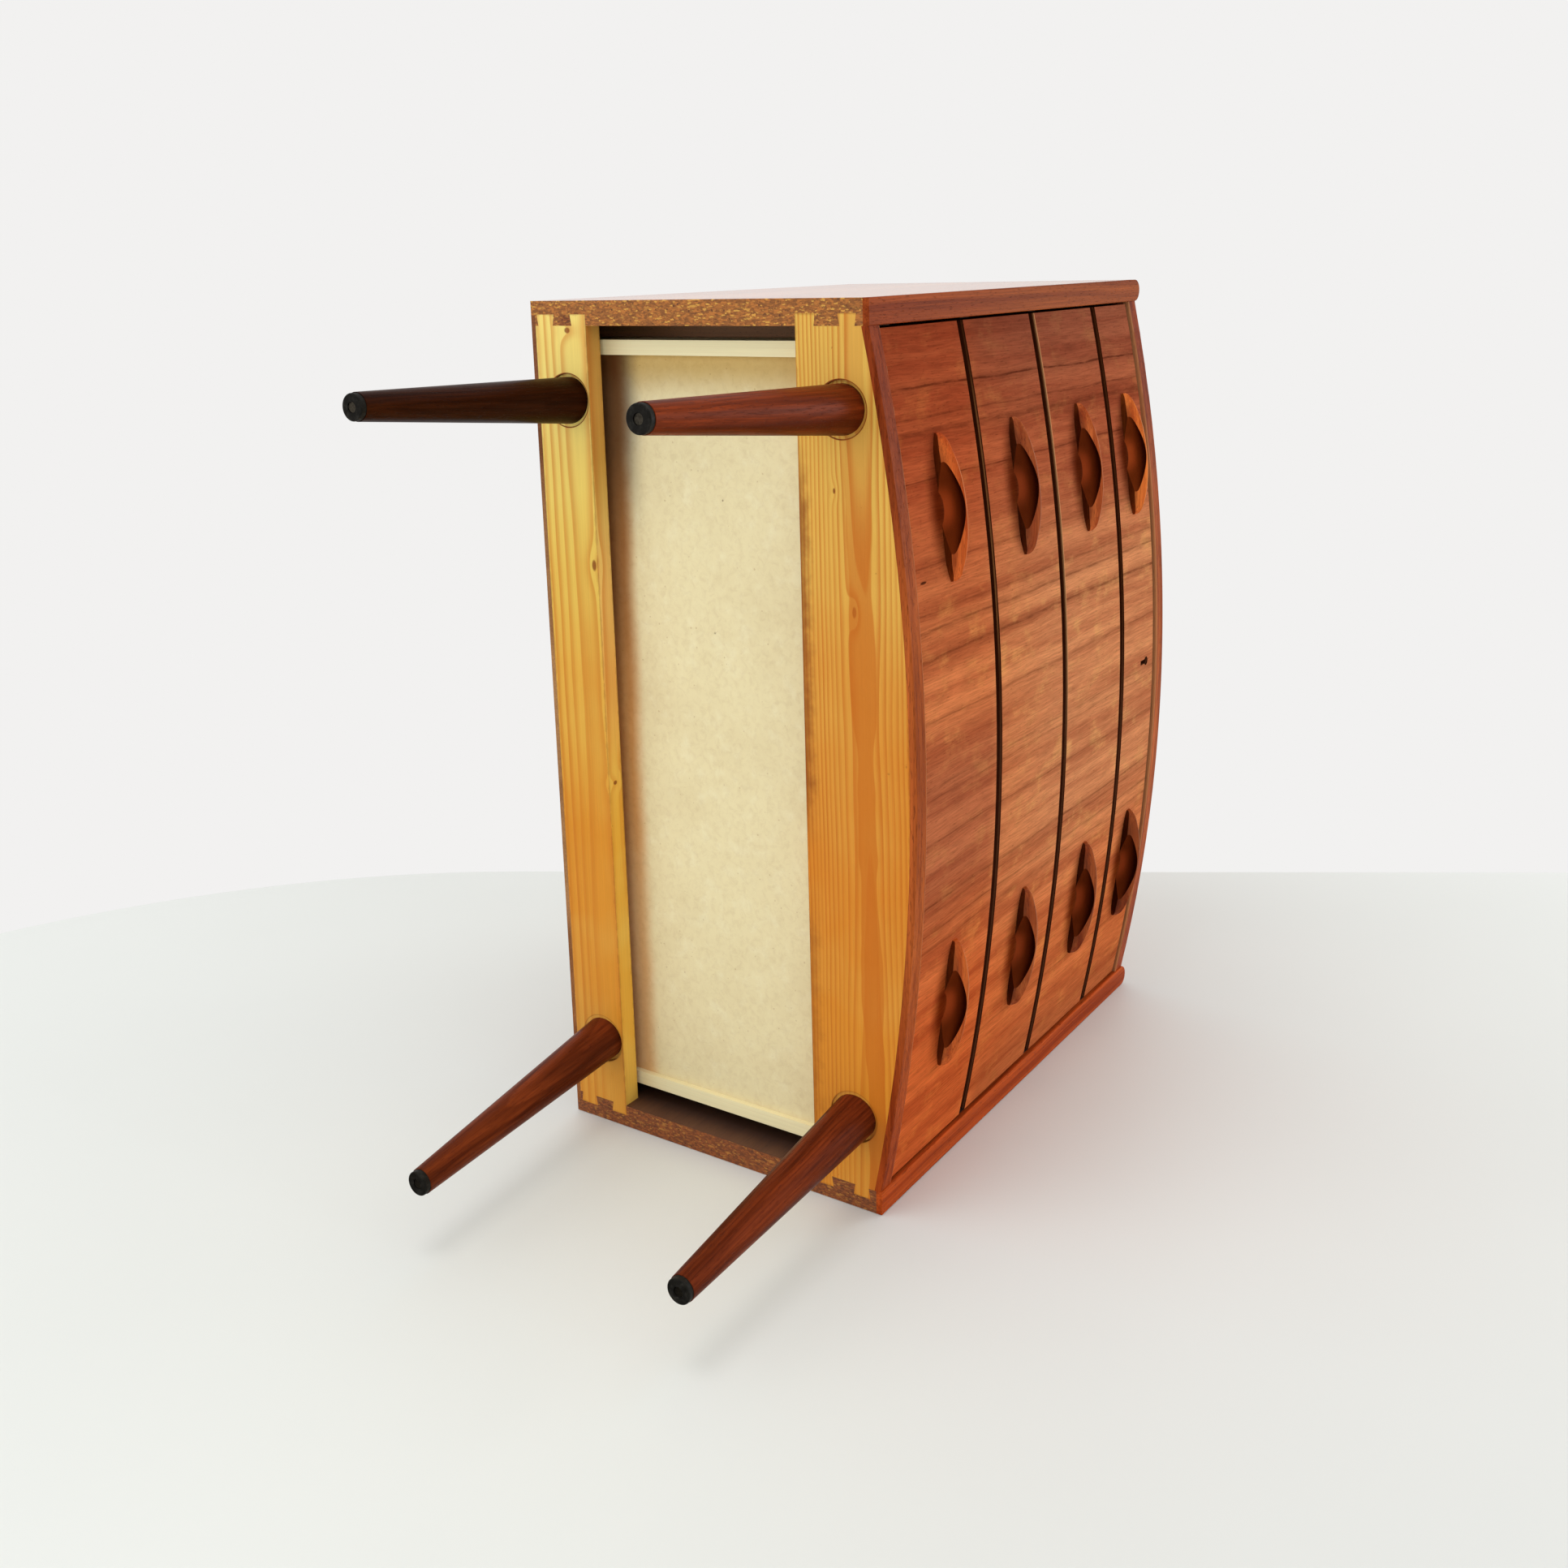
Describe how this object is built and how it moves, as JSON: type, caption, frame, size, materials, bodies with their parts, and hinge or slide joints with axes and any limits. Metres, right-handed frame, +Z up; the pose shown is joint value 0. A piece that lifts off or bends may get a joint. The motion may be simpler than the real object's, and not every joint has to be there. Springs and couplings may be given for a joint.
{
  "type": "chest of drawers",
  "caption": "Low chest with a bowed front, raised side panels, side-hung drawers with carved lip handles and a keyhole, on splayed turned legs with glides.",
  "frame": {"origin": "on the floor, under the middle of the chest's outline", "axes": "+Z up, -Y towards the front with the handles, +X towards the right side as seen from the front"},
  "size_m": [0.6, 0.2978, 0.6125],
  "materials": {
    "teak_veneered_board": "satin",
    "teak_veneered_ply": "satin",
    "solid_teak": "satin",
    "dark_teak": "satin",
    "pine": "matt",
    "beech": "matt",
    "drawer_softwood": "matt",
    "hardboard": "matt",
    "back_plywood": "matt",
    "glide_plastic": "matt",
    "nail_steel": "satin",
    "screw_brass": "satin",
    "lock_brass": "satin"
  },
  "bodies": {
    "case": {"side_panel_left": "teak_veneered_board", "side_panel_right": "teak_veneered_board", "side_top_lipping_left": "solid_teak", "side_top_lipping_right": "solid_teak", "side_front_lipping_left": "solid_teak", "side_front_lipping_right": "solid_teak", "top_panel": "teak_veneered_board", "top_lipping": "solid_teak", "back_panel": "back_plywood", "rear_rail": "pine", "front_rail": "pine", "front_rail_lipping": "solid_teak", "runner_left_1": "beech", "runner_right_1": "beech", "runner_left_2": "beech", "runner_right_2": "beech", "runner_left_3": "beech", "runner_right_3": "beech", "runner_left_4": "beech", "runner_right_4": "beech", "leg_rear_left": "dark_teak", "glide_rear_left": "glide_plastic", "leg_rear_right": "dark_teak", "glide_rear_right": "glide_plastic", "leg_front_left": "dark_teak", "glide_front_left": "glide_plastic", "leg_front_right": "dark_teak", "glide_front_right": "glide_plastic", "glide_nails": "nail_steel", "runner_screws": "screw_brass"},
    "drawer_1": {"drawer_1_front": "teak_veneered_ply", "drawer_1_side_left": "drawer_softwood", "drawer_1_side_right": "drawer_softwood", "drawer_1_back": "drawer_softwood", "drawer_1_bottom": "hardboard", "drawer_1_handle_left": "solid_teak", "drawer_1_handle_right": "solid_teak"},
    "drawer_2": {"drawer_2_front": "teak_veneered_ply", "drawer_2_side_left": "drawer_softwood", "drawer_2_side_right": "drawer_softwood", "drawer_2_back": "drawer_softwood", "drawer_2_bottom": "hardboard", "drawer_2_handle_left": "solid_teak", "drawer_2_handle_right": "solid_teak"},
    "drawer_3": {"drawer_3_front": "teak_veneered_ply", "drawer_3_side_left": "drawer_softwood", "drawer_3_side_right": "drawer_softwood", "drawer_3_back": "drawer_softwood", "drawer_3_bottom": "hardboard", "drawer_3_handle_left": "solid_teak", "drawer_3_handle_right": "solid_teak"},
    "drawer_4": {"drawer_4_front": "teak_veneered_ply", "drawer_4_side_left": "drawer_softwood", "drawer_4_side_right": "drawer_softwood", "drawer_4_back": "drawer_softwood", "drawer_4_bottom": "hardboard", "drawer_4_handle_left": "solid_teak", "drawer_4_handle_right": "solid_teak", "lock_case": "lock_brass"}
  },
  "joints": [
    {"name": "drawer_1_slide", "type": "slide", "parent": "case", "child": "drawer_1", "axis": [0, -1, 0], "range_m": [0, 0.19]},
    {"name": "drawer_2_slide", "type": "slide", "parent": "case", "child": "drawer_2", "axis": [0, -1, 0], "range_m": [0, 0.19]},
    {"name": "drawer_3_slide", "type": "slide", "parent": "case", "child": "drawer_3", "axis": [0, -1, 0], "range_m": [0, 0.19]},
    {"name": "drawer_4_slide", "type": "slide", "parent": "case", "child": "drawer_4", "axis": [0, -1, 0], "range_m": [0, 0.19]}
  ]
}
